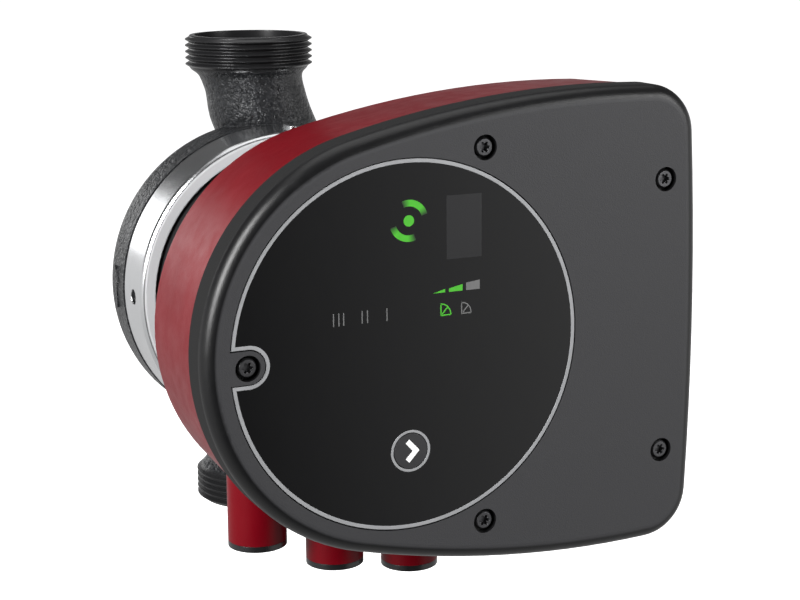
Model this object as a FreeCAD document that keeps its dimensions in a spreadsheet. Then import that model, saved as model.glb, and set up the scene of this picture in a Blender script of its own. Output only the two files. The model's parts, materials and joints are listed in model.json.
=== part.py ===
import FreeCAD, Part

import math
import os
import re

import Sketcher

# Wet-rotor circulator pump with an in-line housing, 180 mm between its G 1 1/2 ports.
#
# Frame: the origin is the centre of the lower port's sealing face and +Z runs up the pipe
# axis. The motor shaft is horizontal, parallel to Y, half way between the ports. The
# control box faces -Y. "Depth" below is the distance in front of the pipe axis, so it is
# -Y, and "up" is the height above the shaft. Lengths are millimetres, angles degrees.

DIMENSIONS = {
    # pipework
    "port_span": 180.0,
    "shaft_height": 90.0,
    "thread_radius": 23.9,
    "thread_groove": 1.48,
    "thread_pitch": 2.309,
    "thread_length": 12.0,
    "thread_ridges": 5,
    "mouth_chamfer": 0.4,
    "thread_crest_share": 0.12,
    "thread_root_share": 0.14,
    "port_bore": 20.4,
    "port_bore_depth": 10.0,
    "passage_bore": 12.0,
    "neck_radius": 18.8,
    # cast housing
    "housing_back": 54.0,
    "volute_radius": 57.5,
    "volute_front": 18.8,
    "cavity_radius": 47.0,
    "cavity_back": 7.0,
    "flange_radius": 55.0,
    "flange_front": 30.0,
    "counterbore_radius": 50.0,
    "counterbore_depth": 3.8,
    "chamber_radius": 24.0,
    "casting_wall": 5.0,
    # wear ring, impeller and shaft
    "eye_radius": 14.7,
    "impeller_radius": 33.0,
    "impeller_back": 8.5,
    "impeller_front": 4.5,
    "shroud_thickness": 1.5,
    "vane_count": 7,
    "shaft_radius": 4.0,
    "shaft_start": -8.0,
    "shaft_length": 92.0,
    # rotor and stator
    "rotor_start": 36.0,
    "rotor_length": 38.0,
    "rotor_core_radius": 18.5,
    "magnet_radius": 22.2,
    "cladding_radius": 22.9,
    "can_inner": 23.5,
    "can_wall": 0.6,
    "can_end": 85.0,
    "can_flange_radius": 49.6,
    "can_flange_back": 28.7,
    "bush_radius": 8.0,
    "stator_start": 41.0,
    "stator_length": 30.0,
    "stator_inner": 24.4,
    "stator_outer": 44.3,
    "slot_count": 12,
    # clamp band
    "band_radius": 57.2,
    "band_back": 19.2,
    "band_front": 40.0,
    "band_wall": 1.5,
    "band_lip_inner": 51.8,
    "band_gap": 7.0,
    "band_gap_angle": 50.0,
    "band_tab_angle": 80.0,
    "drain_depth": 30.4,
    "drain_radius": 2.8,
    # stator housing
    "barrel_radius": 50.0,
    "barrel_front": 85.5,
    "barrel_bore": 44.6,
    "spigot_radius": 46.0,
    "spigot_front": 92.0,
    # control box outline: a round left end, shallow crowned flanks and a nearly flat right side
    "left_radius": 69.0,
    "crown_radius": 362.0,
    "half_height": 79.0,
    "right_reach": 108.9,
    "right_radius": 1100.0,
    "corner_radius": 17.0,
    # control box shell
    "shell_back": 85.5,
    "shell_front": 127.5,
    "shell_inset": 0.6,
    "shell_back_inset": 2.6,
    "shell_wall": 2.6,
    "shell_floor": 3.0,
    "tube_radius": 9.8,
    "tube_bore": 7.6,
    "tube_depth": 105.0,
    "plug_rim": 2.0,
    # cover, window and button
    "box_front": 142.0,
    "cover_wall": 3.0,
    "cover_face": 4.2,
    "cover_round": 5.2,
    "gasket_height": 0.7,
    "trim_radius": 60.1,
    "trim_width": 1.2,
    "window_depth": 2.4,
    "window_sink": 0.3,
    "seat_gap": 0.4,
    "aperture_radius": 50.0,
    "notch_x": -54.3,
    "notch_up": -0.6,
    "notch_radius": 5.7,
    "button_up": -34.4,
    "button_radius": 5.8,
    "bezel_radius": 6.9,
    "mark_tip": 3.1,
    "mark_reach": 3.85,
    "mark_back": -0.5,
    "mark_stroke": 1.75,
    "mark_sink": 0.45,
    # screws
    "screw_head_radius": 3.2,
    "screw_head_height": 2.6,
    "screw_head_bevel": 0.6,
    "screw_shank_radius": 2.0,
    "screw_sink": 0.7,
    "counterbore_screw": 4.15,
    "boss_radius": 5.2,
    # electronics
    "board_thickness": 1.6,
    "power_board_depth": 100.0,
    "hmi_board_depth": 130.5,
    "running_gap": 0.05,
    "air_gap": 0.3,
}

# Positions that come in sets: (x, up) for the screws and (x, up of the lower end) for the tubes.
COVER_SCREWS = [(26.8, 62.0), (26.8, -62.0), (94.8, 47.0), (94.8, -47.0), (-54.6, -0.8)]
CABLE_TUBES = [("left", -39.3, -71.0), ("middle", -11.6, -81.7), ("right", 16.3, -86.8)]

V = FreeCAD.Vector
X_AXIS = V(1, 0, 0)
Y_AXIS = V(0, 1, 0)
Z_AXIS = V(0, 0, 1)
FORWARD = FreeCAD.Rotation(X_AXIS, 90)
UPRIGHT = FreeCAD.Rotation()
WORD = re.compile(r"[a-z][a-z0-9_]*")

doc = FreeCAD.newDocument("circulator_pump")
dims = doc.addObject("Spreadsheet::Sheet", "Dims")
for row, (alias, value) in enumerate(DIMENSIONS.items(), start=1):
    dims.set(f"A{row}", alias)
    dims.set(f"B{row}", str(value))
    dims.setAlias(f"B{row}", alias)
doc.recompute()

nodes = []


def link(formula):
    """Write a formula of sheet words as an expression that reads the sheet."""
    return WORD.sub(lambda word: "Dims." + word.group() if word.group() in DIMENSIONS else word.group(),
                    str(formula))


def number(formula):
    """Work a formula of sheet words out now."""
    return float(dims.evalExpression(link(formula)))


def bind(item, **formulas):
    for name, formula in formulas.items():
        item.setExpression(name, link(formula))
    return item


def locate(item, x=0, depth=0, up=0, rotation=FORWARD):
    """Place an object by its x, its depth and its height above the shaft."""
    item.Placement = FreeCAD.Placement(V(0, 0, 0), rotation)
    item.setExpression("Placement.Base.x", link(x))
    item.setExpression("Placement.Base.y", link(f"-({depth})"))
    item.setExpression("Placement.Base.z", link(f"shaft_height + ({up})"))
    return item


def node(item, name):
    """Register a finished sub-part under its own name."""
    for stage in doc.getObjectsByLabel(name):
        stage.Label = f"{name}_stage"
    item.Label = name
    nodes.append(item)
    return item


# ---- primitives, all placed by depth and height above the shaft

def rod(name, radius, start, length, x=0, up=0):
    """A round bar along the shaft direction, from depth start forward."""
    bar = bind(doc.addObject("Part::Cylinder", name), Radius=radius, Height=length)
    return locate(bar, x, start, up)


def post(name, radius, x, depth, up, height):
    """An upright round bar that starts at height up."""
    bar = bind(doc.addObject("Part::Cylinder", name), Radius=radius, Height=height)
    return locate(bar, x, depth, up, UPRIGHT)


def brick(name, x, depth, up, width, thick, height):
    """A block from its left, rear and lower corner; thick runs forward."""
    block = bind(doc.addObject("Part::Box", name), Length=width, Width=height, Height=thick)
    return locate(block, x, depth, up)


def across(name, radius, x, length, up, depth=29.5):
    """A round bar along X that starts at x."""
    bar = bind(doc.addObject("Part::Cylinder", name), Radius=radius, Height=length)
    return locate(bar, x, depth, up, FreeCAD.Rotation(Y_AXIS, 90))


def leaning(name, radius, start, end):
    """A round bar between two (x, depth, up) points."""
    bar = bind(doc.addObject("Part::Cylinder", name), Radius=radius)
    first = V(number(start[0]), -number(start[1]), number(start[2]) + number("shaft_height"))
    last = V(number(end[0]), -number(end[1]), number(end[2]) + number("shaft_height"))
    bar.Height = (last - first).Length
    bar.Placement = FreeCAD.Placement(first, FreeCAD.Rotation(Z_AXIS, last - first))
    return bar


def ball(name, radius, x, depth, up):
    return locate(bind(doc.addObject("Part::Sphere", name), Radius=radius), x, depth, up)


def ring(name, outer, inner, start, length, x=0, up=0):
    """A plain ring along the shaft direction."""
    return cut(name, rod(f"{name}_outside", outer, start, length, x, up),
               rod(f"{name}_inside", inner, f"{start} - 1", f"{length} + 2", x, up))


def fuse(name, *parts):
    joined = doc.addObject("Part::MultiFuse", name)
    joined.Shapes = list(parts)
    return joined


def cut(name, base, *tools):
    less = doc.addObject("Part::Cut", name)
    less.Base = base
    less.Tool = tools[0] if len(tools) == 1 else fuse(f"{name}_tools", *tools)
    return less


def rounded(name, base, radius, picks):
    """Round the edges of base that the test picks."""
    doc.recompute()
    chosen = [index for index, edge in enumerate(base.Shape.Edges, start=1) if picks(edge)]
    fillet = doc.addObject("Part::Fillet", name)
    fillet.Base = base
    fillet.Edges = [(index, number(radius), number(radius)) for index in chosen]
    return fillet


def group(name, *parts):
    """Separate solids that share one sub-part."""
    compound = doc.addObject("Part::Compound", name)
    compound.Links = list(parts)
    return compound


# ---- sketched bodies

def closed_sketch(body, name, role, corners):
    """A closed outline of straight lines, each corner tied to a pair of sheet formulas."""
    sketch = body.newObject("Sketcher::SketchObject", name)
    plane = next(item for item in body.Origin.OriginFeatures if item.Role == role)
    sketch.AttachmentSupport = [(plane, "")]
    sketch.MapMode = "FlatFace"
    points = [V(number(across), number(along), 0) for across, along in corners]
    for index, point in enumerate(points):
        sketch.addGeometry(Part.LineSegment(point, points[(index + 1) % len(points)]))
    for index in range(len(points)):
        sketch.addConstraint(Sketcher.Constraint("Coincident", index, 2, (index + 1) % len(points), 1))
    for index, pair in enumerate(corners):
        for kind, axis, value, formula in (("DistanceX", -2, points[index].x, pair[0]),
                                           ("DistanceY", -1, points[index].y, pair[1])):
            if abs(value) < 1e-9:
                sketch.addConstraint(Sketcher.Constraint("PointOnObject", index, 1, axis))
                continue
            made = sketch.addConstraint(Sketcher.Constraint(kind, -1, 1, index, 1, value))
            sketch.setExpression(f"Constraints[{made}]", link(formula))
    return sketch


def turned(name, corners, x=0, up=0):
    """A body turned about its own axis from (radius, depth) corners."""
    body = doc.addObject("PartDesign::Body", name)
    locate(body, x, 0, up)
    sketch = closed_sketch(body, f"{name}_profile", "XZ_Plane", corners)
    turn = body.newObject("PartDesign::Revolution", f"{name}_turn")
    turn.Profile = sketch
    turn.ReferenceAxis = (sketch, ["V_Axis"])
    turn.Angle = 360
    body.Tip = turn
    return body


def plate(name, corners, start, thick):
    """A flat body padded forward from (x, up) corners."""
    body = doc.addObject("PartDesign::Body", name)
    locate(body, 0, start, 0)
    sketch = closed_sketch(body, f"{name}_outline", "XY_Plane", corners)
    pad = body.newObject("PartDesign::Pad", f"{name}_pad")
    pad.Profile = sketch
    pad.setExpression("Length", link(thick))
    body.Tip = pad
    return body


def around(parts_of, count, first=0.0):
    """Call parts_of(angle) for each of count even steps round the shaft."""
    return [parts_of(first + 360.0 * step / count) for step in range(count)]


def turn_round_shaft(item, angle):
    """Swing an already placed object about the shaft axis."""
    swing = FreeCAD.Placement(V(0, 0, 0), FreeCAD.Rotation(Y_AXIS, -angle), V(0, 0, number("shaft_height")))
    holder = doc.addObject("Part::Compound", f"{item.Name}_swung")
    holder.Links = [item]
    holder.Placement = swing
    return holder


# ---- the control box outline, shared by the shell, the gasket, the cover and the boards

def outline_sketch():
    """Six tangent arcs: left end, two crowned flanks, two corners and the right side."""
    sketch = doc.addObject("Sketcher::SketchObject", "box_outline")
    left, crown = number("left_radius"), number("crown_radius")
    corner, side = number("corner_radius"), number("right_radius")
    crown_up = number("half_height") - crown
    crown_x = math.sqrt((crown - left) ** 2 - crown_up ** 2)
    side_x = number("right_reach") - side
    crown_centre = V(crown_x, crown_up, 0)
    side_centre = V(side_x, 0, 0)

    # the corner's centre lies on a circle about each of its neighbours' centres
    gap = side_centre - crown_centre
    reach_crown, reach_side = crown - corner, side - corner
    along = (reach_crown ** 2 - reach_side ** 2 + gap.Length ** 2) / (2 * gap.Length)
    across = math.sqrt(reach_crown ** 2 - along ** 2)
    forth = V(gap).normalize()
    corner_centre = crown_centre + forth * along + V(-forth.y, forth.x, 0) * across
    if corner_centre.x < 0 or corner_centre.y < 0:
        corner_centre = crown_centre + forth * along - V(-forth.y, forth.x, 0) * across

    left_touch = crown_centre * (-left / crown_centre.Length)
    crown_touch = crown_centre + (corner_centre - crown_centre).normalize() * crown
    side_touch = side_centre + (corner_centre - side_centre).normalize() * side

    def mirrored(point):
        return V(point.x, -point.y, 0)

    def arc(centre, radius, start, end):
        """An arc that runs counter-clockwise from start to end."""
        circle = Part.Circle(centre, Z_AXIS, radius)
        return Part.ArcOfCircle(circle, math.atan2(start.y - centre.y, start.x - centre.x),
                                math.atan2(end.y - centre.y, end.x - centre.x))

    arcs = [
        arc(V(0, 0, 0), left, left_touch, mirrored(left_touch)),
        arc(mirrored(crown_centre), crown, mirrored(left_touch), mirrored(crown_touch)),
        arc(mirrored(corner_centre), corner, mirrored(crown_touch), mirrored(side_touch)),
        arc(side_centre, side, mirrored(side_touch), side_touch),
        arc(corner_centre, corner, side_touch, crown_touch),
        arc(crown_centre, crown, crown_touch, left_touch),
    ]
    for piece in arcs:
        sketch.addGeometry(piece)
    for index in range(len(arcs)):
        sketch.addConstraint(Sketcher.Constraint("Tangent", index, 2, (index + 1) % len(arcs), 1))
    sketch.addConstraint(Sketcher.Constraint("Coincident", 0, 3, -1, 1))
    sketch.addConstraint(Sketcher.Constraint("PointOnObject", 3, 3, -1))
    measures = [
        ("Radius", (0,), "left_radius"),
        ("Radius", (1,), "crown_radius"),
        ("Radius", (5,), "crown_radius"),
        ("Radius", (2,), "corner_radius"),
        ("Radius", (4,), "corner_radius"),
        ("Radius", (3,), "right_radius"),
        ("DistanceY", (-1, 1, 5, 3), "half_height - crown_radius"),
        ("DistanceY", (-1, 1, 1, 3), "crown_radius - half_height"),
        ("DistanceX", (-1, 1, 3, 3), "right_reach - right_radius"),
    ]
    for kind, where, formula in measures:
        made = sketch.addConstraint(Sketcher.Constraint(kind, *where, number(formula)))
        sketch.setExpression(f"Constraints[{made}]", link(formula))
    locate(sketch)
    return sketch


def slab(name, inset, start, thick):
    """The box outline, drawn in by inset and made solid forward from depth start."""
    shape = outline
    if number(inset) != 0:
        shape = doc.addObject("Part::Offset2D", f"{name}_outline")
        shape.Source = outline
        shape.setExpression("Value", link(f"-({inset})"))
    solid = doc.addObject("Part::Extrusion", name)
    solid.Base = shape
    solid.DirMode = "Custom"
    solid.Dir = V(0, -1, 0)
    solid.Solid = True
    bind(solid, LengthFwd=thick)
    solid.setExpression("Placement.Base.y", link(f"-({start})"))
    return solid


def flared(name, back_inset, front_inset, start, thick):
    """A solid lofted between two insets of the box outline."""
    rims = []
    for end, inset, depth in (("back", back_inset, start), ("front", front_inset, f"{start} + {thick}")):
        rim = doc.addObject("Part::Offset2D", f"{name}_{end}")
        rim.Source = outline
        rim.setExpression("Value", link(f"-({inset})"))
        holder = doc.addObject("Part::Compound", f"{name}_{end}_rim")
        holder.Links = [rim]
        holder.setExpression("Placement.Base.y", link(f"-({depth})"))
        rims.append(holder)
    loft = doc.addObject("Part::Loft", name)
    loft.Sections = rims
    loft.Solid = True
    loft.Ruled = True
    return loft


# ---- pump housing and its ports

def threaded_end(name, at_top):
    """One port's end, from the neck outwards: the ridges of a parallel pipe thread and a chamfered mouth."""
    root = "thread_radius - thread_groove"
    corners = [("0", "0"), (root, "0")]
    for ridge in range(int(number("thread_ridges"))):
        middle = f"{ridge + 0.5} * thread_pitch"
        foot = "thread_pitch * (1 - thread_root_share) / 2"
        crest = "thread_pitch * thread_crest_share / 2"
        corners += [
            (root, f"{middle} - {foot}"),
            ("thread_radius", f"{middle} - {crest}"),
            ("thread_radius", f"{middle} + {crest}"),
            (root, f"{middle} + {foot}"),
        ]
    corners += [
        (root, "thread_ridges * thread_pitch"),
        (f"{root} - mouth_chamfer", "thread_length"),
        ("0", "thread_length"),
    ]
    end = turned(f"{name}_end", corners)
    if at_top:
        return locate(end, 0, 0, "port_span - thread_length - shaft_height", UPRIGHT)
    return locate(end, 0, 0, "thread_length - shaft_height", FreeCAD.Rotation(X_AXIS, 180))


def neck(name, stations):
    """A cast neck lofted through (x, depth, z, radius) circles."""
    circles = []
    for index, (x, depth, height, radius) in enumerate(stations):
        circle = bind(doc.addObject("Part::Circle", f"{name}_ring{index}"), Radius=radius)
        locate(circle, x, depth, f"({height}) - shaft_height", UPRIGHT)
        circles.append(circle)
    loft = doc.addObject("Part::Loft", name)
    loft.Sections = circles
    loft.Solid = True
    return loft


def pump_housing():
    """The in-line casting: volute, inlet chamber behind it, two necks and two threaded ports."""
    shell = turned("volute_casting", [
        ("0", "-housing_back"),
        ("chamber_radius - 3", "-housing_back"),
        ("chamber_radius + 2.5", "2 - housing_back"),
        ("chamber_radius + casting_wall", "7 - housing_back"),
        ("chamber_radius + casting_wall + 1.5", "-24"),
        ("chamber_radius + casting_wall + 5", "-19.5"),
        ("volute_radius - 16", "-16.5"),
        ("volute_radius - 9.4", "-12.5"),
        ("volute_radius - 5.4", "-7.2"),
        ("volute_radius - 2.7", "-2.2"),
        ("volute_radius - 1.1", "1.2"),
        ("volute_radius - 0.3", "3.8"),
        ("volute_radius", "6"),
        ("volute_radius", "volute_front"),
        ("flange_radius - 2.6", "volute_front"),
        ("flange_radius - 2.6", "volute_front + 2.6"),
        ("flange_radius", "volute_front + 4.2"),
        ("flange_radius", "flange_front"),
        ("0", "flange_front"),
    ])
    root = "thread_radius - thread_groove"
    top_neck = neck("top_neck", [
        (0, 0, "port_span - thread_length + 0.6", f"{root} - 0.1"),
        (0, 0, "port_span - thread_length - 1", f"{root} - 0.8"),
        (0.4, 0, "port_span - thread_length - 2.6", "neck_radius + 1.1"),
        (1.0, 0, "port_span - thread_length - 5", "neck_radius + 0.3"),
        (2.1, -0.1, "port_span - thread_length - 8.6", "neck_radius + 0.1"),
        (3.5, -0.4, "port_span - thread_length - 14.4", "neck_radius + 0.5"),
        (5.6, -1, "port_span - thread_length - 20.6", "neck_radius + 1.1"),
        (9, -1, "port_span - thread_length - 30", "neck_radius + 0.7"),
        (12, 0, "port_span - thread_length - 42", "neck_radius + 0.7"),
    ])
    low_neck = neck("low_neck", [
        (0, 0, "thread_length - 0.6", f"{root} - 0.1"),
        (0, -0.2, "thread_length + 1", f"{root} - 0.8"),
        (0, -1.2, "thread_length + 2.6", "neck_radius + 1.1"),
        (0, -3, "thread_length + 5", "neck_radius + 0.4"),
        (0, -8.8, "thread_length + 13", "neck_radius"),
        (0, -16.5, "thread_length + 22", "neck_radius"),
        (0, -24.5, "thread_length + 31", "neck_radius - 0.2"),
        (0, -29.5, "thread_length + 40", "neck_radius - 0.4"),
        (0, -31, "thread_length + 52", "neck_radius - 0.6"),
    ])
    # a raised arrow on the left flank shows the flow direction
    arrow = plate("arrow_plate", [
        ("8.6", "-7.5"), ("11.4", "-7.5"), ("11.4", "2"), ("13.6", "2"), ("10", "8"), ("6.4", "2"),
        ("8.6", "2"),
    ], 0, 3.7)
    locate(arrow, "3.4 - volute_radius", 0, 0, FreeCAD.Rotation(V(0, -1, 0), Z_AXIS, V(-1, 0, 0)))
    body = fuse("housing_blank", shell, arrow, top_neck, low_neck,
                threaded_end("upper", True), threaded_end("lower", False))

    openings = [
        turned("volute_cavity", [
            ("0", "-cavity_back"),
            ("cavity_radius - 6", "-cavity_back"),
            ("cavity_radius - 2", "2.5 - cavity_back"),
            ("cavity_radius", "7 - cavity_back"),
            ("cavity_radius", "flange_front + 1"),
            ("0", "flange_front + 1"),
        ]),
        rod("flange_counterbore", "counterbore_radius", "flange_front - counterbore_depth",
            "counterbore_depth + 1"),
        rod("eye_bore", 16.5, "-cavity_back - 6", 7),
        rod("inlet_chamber", "chamber_radius", "casting_wall - housing_back",
            "housing_back - cavity_back - 2 * casting_wall"),
        post("upper_mouth", "port_bore", 0, 0, "port_span - shaft_height - port_bore_depth",
             "port_bore_depth + 1"),
        post("lower_mouth", "port_bore", 0, 0, "-shaft_height - 1", "port_bore_depth + 1"),
        leaning("discharge_bore", "passage_bore + 1", (0.5, 0, 80), (12, 4, 36)),
        ball("suction_start", "passage_bore", 0, 0, -78),
        leaning("suction_bore", "passage_bore - 1", (0, 0, -78), (0, -31, -41.5)),
        ball("suction_bend", "passage_bore - 1", 0, -31, -41.5),
        post("suction_rise", "passage_bore - 1", 0, -31, -41.5, 26),
    ]
    node(cut("pump_housing_cast", body, *openings), "pump_housing")


def neck_ring():
    """The stainless wear ring pressed into the suction eye."""
    node(turned("neck_ring", [
        ("eye_radius + air_gap", "-cavity_back - 5"),
        ("16.45", "-cavity_back - 5"),
        ("16.45", "-cavity_back"),
        ("18.5", "-cavity_back"),
        ("18.5", "0.9 - cavity_back"),
        ("eye_radius + air_gap", "0.9 - cavity_back"),
    ]), "neck_ring")


def housing_seal():
    """The O-ring in the corner of the housing's counterbore."""
    seal = doc.addObject("Part::Torus", "housing_o_ring")
    bind(seal, Radius1="counterbore_radius - 1.3", Radius2=1.1)
    node(locate(seal, 0, "flange_front - counterbore_depth + 1.15", 0), "housing_o_ring")


# ---- clamp band

def clamp_band():
    """A polished V-band over both flanges, split beside the top neck, with a drain hole."""
    hoop = turned("band_hoop", [
        ("band_radius - 4", "band_back"),
        ("band_radius - 0.7", "band_back"),
        ("band_radius", "band_back + 0.7"),
        ("band_radius - 0.1", "band_front - 2"),
        ("band_radius - 0.45", "band_front - 1"),
        ("band_radius - 1.05", "band_front - 0.35"),
        ("band_radius - 1.9", "band_front"),
        ("band_lip_inner", "band_front"),
        ("band_lip_inner", "band_front - 1.5"),
        ("band_radius - band_wall", "band_front - 1.5"),
        ("band_radius - band_wall", "band_back + 3.2"),
        ("band_radius - 4", "band_back + 1.6"),
    ])
    split = brick("band_split", "-band_gap / 2", "band_back - 1", 45, "band_gap",
                  "band_front - band_back + 2", 20)
    drain = across("band_drain", "drain_radius", "-band_radius - 10", 20, 0, "drain_depth")
    screw_up = "band_radius + 4.6"
    lugs = [brick("band_tab", -9, 31, "band_radius - 1.3", 15, 8, 2.6)]
    for side in (-1, 1):
        start = "band_gap / 2" if side > 0 else "-band_gap / 2 - 12"
        ear_start = "band_gap / 2" if side > 0 else "-band_gap / 2 - 2.4"
        lugs.append(fuse(f"band_lug{side + 1}",
                         brick(f"band_foot{side + 1}", start, 22, "band_radius - 2.6", 12, 15, 3.7),
                         brick(f"band_ear{side + 1}", ear_start, 22, "band_radius - 1", 2.4, 15, 9.4)))
    turn = number("band_gap_angle") - 90
    tab_turn = number("band_tab_angle") - 90
    lugs = [turn_round_shaft(lug, tab_turn if lug is lugs[0] else turn) for lug in lugs]
    cavity = rod("band_inside", "band_radius - band_wall", 18, 30)
    ears = cut("band_ears", fuse("band_lugs", *lugs), cavity)
    hole = across("band_screw_hole", 2.8, -20, 40, screw_up)
    band = cut("band_with_split", fuse("band_with_ears", ears, hoop),
               turn_round_shaft(split, turn), turn_round_shaft(hole, turn), drain)
    node(band, "clamp_band")

    # the tangential socket screw and its square nut
    blank = fuse("clamp_screw_blank",
                 across("clamp_screw_shank", 2.5, "-band_gap / 2 - 6.4", "band_gap + 9", screw_up),
                 across("clamp_screw_head", 3.4, "band_gap / 2 + 2.45", 5, screw_up))
    socket = bind(doc.addObject("Part::Prism", "clamp_screw_socket"), Circumradius=2.2, Height=4)
    socket.Polygon = 6
    locate(socket, "band_gap / 2 + 4.6", 29.5, screw_up, FreeCAD.Rotation(Y_AXIS, 90))
    node(turn_round_shaft(cut("clamp_screw_body", blank, socket), turn), "clamp_screw")
    block = brick("clamp_nut_block", "-band_gap / 2 - 6.45", 26, "band_radius + 1.15", 4, 7, 6.9)
    bore = across("clamp_nut_bore", 2.55, -20, 20, screw_up)
    node(turn_round_shaft(cut("clamp_nut_body", block, bore), turn), "clamp_nut")


# ---- hydraulics and rotor

def impeller():
    """A closed impeller: two shrouds, curved vanes, a hub and a suction collar."""
    rear = turned("impeller_rear", [
        ("shaft_radius + 0.02", "-2"), ("7.5", "-2"), ("9.5", "4"),
        ("13", "impeller_back - shroud_thickness"),
        ("impeller_radius", "impeller_back - shroud_thickness"), ("impeller_radius", "impeller_back"),
        ("shaft_radius + 0.02", "impeller_back"),
    ])
    front = turned("impeller_front_shroud", [
        ("eye_radius - 1.5", "-impeller_front - 7"), ("eye_radius", "-impeller_front - 7"),
        ("eye_radius", "-impeller_front - 0.4"), ("eye_radius + 2", "-impeller_front + 0.2"),
        ("impeller_radius", "-impeller_front + 1.8"),
        ("impeller_radius", "-impeller_front + shroud_thickness + 1.8"),
        ("eye_radius + 1", "-impeller_front + shroud_thickness + 0.2"),
        ("eye_radius - 1.5", "-impeller_front - 0.5"),
    ])

    def vane(angle):
        curve = ring(f"vane_{round(angle)}", 23.0, 21.4, "-impeller_front + 0.8",
                     "impeller_back + impeller_front - 1", 13.2, -17.5)
        return turn_round_shaft(curve, angle)

    arcs = fuse("vane_arcs", *around(vane, int(number("vane_count"))))
    annulus = turned("vane_space", [
        ("12.6", "-impeller_front + 0.8"), ("16", "-impeller_front + 1"),
        ("impeller_radius - 0.2", "-impeller_front + 2.6"),
        ("impeller_radius - 0.2", "impeller_back - 0.7"), ("12.6", "impeller_back - 0.7"),
    ])
    blades = doc.addObject("Part::Common", "impeller_vanes")
    blades.Base = arcs
    blades.Tool = annulus
    node(fuse("impeller_whole", rear, front, blades), "impeller")


def rotor():
    """Ceramic shaft, laminated core, four magnets, stainless cladding and a carbon thrust ring."""
    node(rod("rotor_shaft", "shaft_radius", "shaft_start", "shaft_length"), "rotor_shaft")
    node(ring("rotor_core", "rotor_core_radius", "shaft_radius + 0.02", "rotor_start", "rotor_length"),
         "rotor_core")

    wheel = ring("magnet_wheel", "magnet_radius", "rotor_core_radius + 0.03", "rotor_start + 0.5",
                 "rotor_length - 1")

    def parting(angle):
        return turn_round_shaft(brick(f"magnet_gap_{round(angle)}", 0, "rotor_start - 1", -1, 40,
                                      "rotor_length + 2", 2), angle)

    node(cut("rotor_magnets", wheel, *around(parting, 4, 45)), "rotor_magnets")
    node(turned("rotor_cladding", [
        ("shaft_radius + 0.02", "rotor_start - 0.8"), ("cladding_radius", "rotor_start - 0.8"),
        ("cladding_radius", "rotor_start + rotor_length + 0.8"),
        ("shaft_radius + 0.02", "rotor_start + rotor_length + 0.8"),
        ("shaft_radius + 0.02", "rotor_start + rotor_length"),
        ("magnet_radius + 0.05", "rotor_start + rotor_length"), ("magnet_radius + 0.05", "rotor_start"),
        ("shaft_radius + 0.02", "rotor_start"),
    ]), "rotor_cladding")
    node(turned("thrust_ring", [
        ("shaft_radius + 0.02", "29.8"), ("9.2", "29.8"), ("9.2", "32.4"), ("shaft_radius + 0.02", "32.4"),
    ]), "thrust_ring")
    node(turned("thrust_ring_holder", [
        ("shaft_radius + 0.02", "32.45"), ("9.25", "32.45"), ("9.25", "31"), ("10.6", "31"),
        ("10.6", "rotor_start - 0.85"), ("shaft_radius + 0.02", "rotor_start - 0.85"),
    ]), "thrust_ring_holder")


# ---- stator side

def bearings():
    """The bearing plate and the two ceramic bushes that the shaft runs in."""
    disc = turned("bearing_disc", [
        ("bush_radius", "18.5"), ("cavity_radius - 0.4", "18.5"), ("cavity_radius - 0.4", "can_flange_back"),
        ("cavity_radius - 2.4", "can_flange_back"), ("cavity_radius - 2.4", "20.2"), ("10.6", "20.2"),
        ("10.6", "29.5"), ("bush_radius", "29.5"),
    ])

    def port(angle):
        return turn_round_shaft(rod(f"plate_port_{round(angle)}", 2.2, 17, 5, 17), angle)

    node(cut("bearing_plate", disc, *around(port, 4)), "bearing_plate")
    for name, start, length in (("inner_bearing", 18.5, 11), ("outer_bearing", 77.5, "can_end - 77.6")):
        node(ring(name, "bush_radius - 0.03", "shaft_radius + running_gap", start, length), name)


def rotor_can():
    """The thin stainless can that keeps the water inside, with its flange and bearing seat."""
    node(turned("rotor_can", [
        ("can_inner", "can_flange_back"), ("can_flange_radius", "can_flange_back"),
        ("can_flange_radius", "can_flange_back + 1.5"), ("can_inner + can_wall", "can_flange_back + 1.5"),
        ("can_inner + can_wall", "can_end + can_wall"), ("0", "can_end + can_wall"), ("0", "can_end"),
        ("bush_radius", "can_end"), ("bush_radius", "77.5"), ("bush_radius + 1", "77.5"),
        ("bush_radius + 1", "can_end - 1"), ("can_inner", "can_end - 1"),
    ]), "rotor_can")


def stator():
    """Slotted lamination stack with copper windings that fill the slots and both end turns."""
    stack = ring("stator_stack", "stator_outer", "stator_inner", "stator_start", "stator_length")

    def slot(angle, width, low, high, tag, start, length):
        block = brick(f"{tag}_{round(angle)}", low, start, -width / 2, high - low, length, width)
        return turn_round_shaft(block, angle)

    count = int(number("slot_count"))
    slots = around(lambda angle: slot(angle, 6.0, 26.5, 39, "slot", "stator_start - 1", "stator_length + 2"),
                   count)
    mouths = around(lambda angle: slot(angle, 2.0, 23, 27, "mouth", "stator_start - 1",
                                       "stator_length + 2"), count)
    node(cut("stator_core", stack, *slots, *mouths), "stator_core")
    sides = around(lambda angle: slot(angle, 5.6, 26.8, 38.7, "coil", "stator_start - 1",
                                      "stator_length + 2"), count)
    ends = [ring(f"end_turn_{start}", 40.5, 26, start, 8) for start in (32.5, 71.5)]
    node(fuse("stator_windings", *sides, *ends), "stator_windings")


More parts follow.
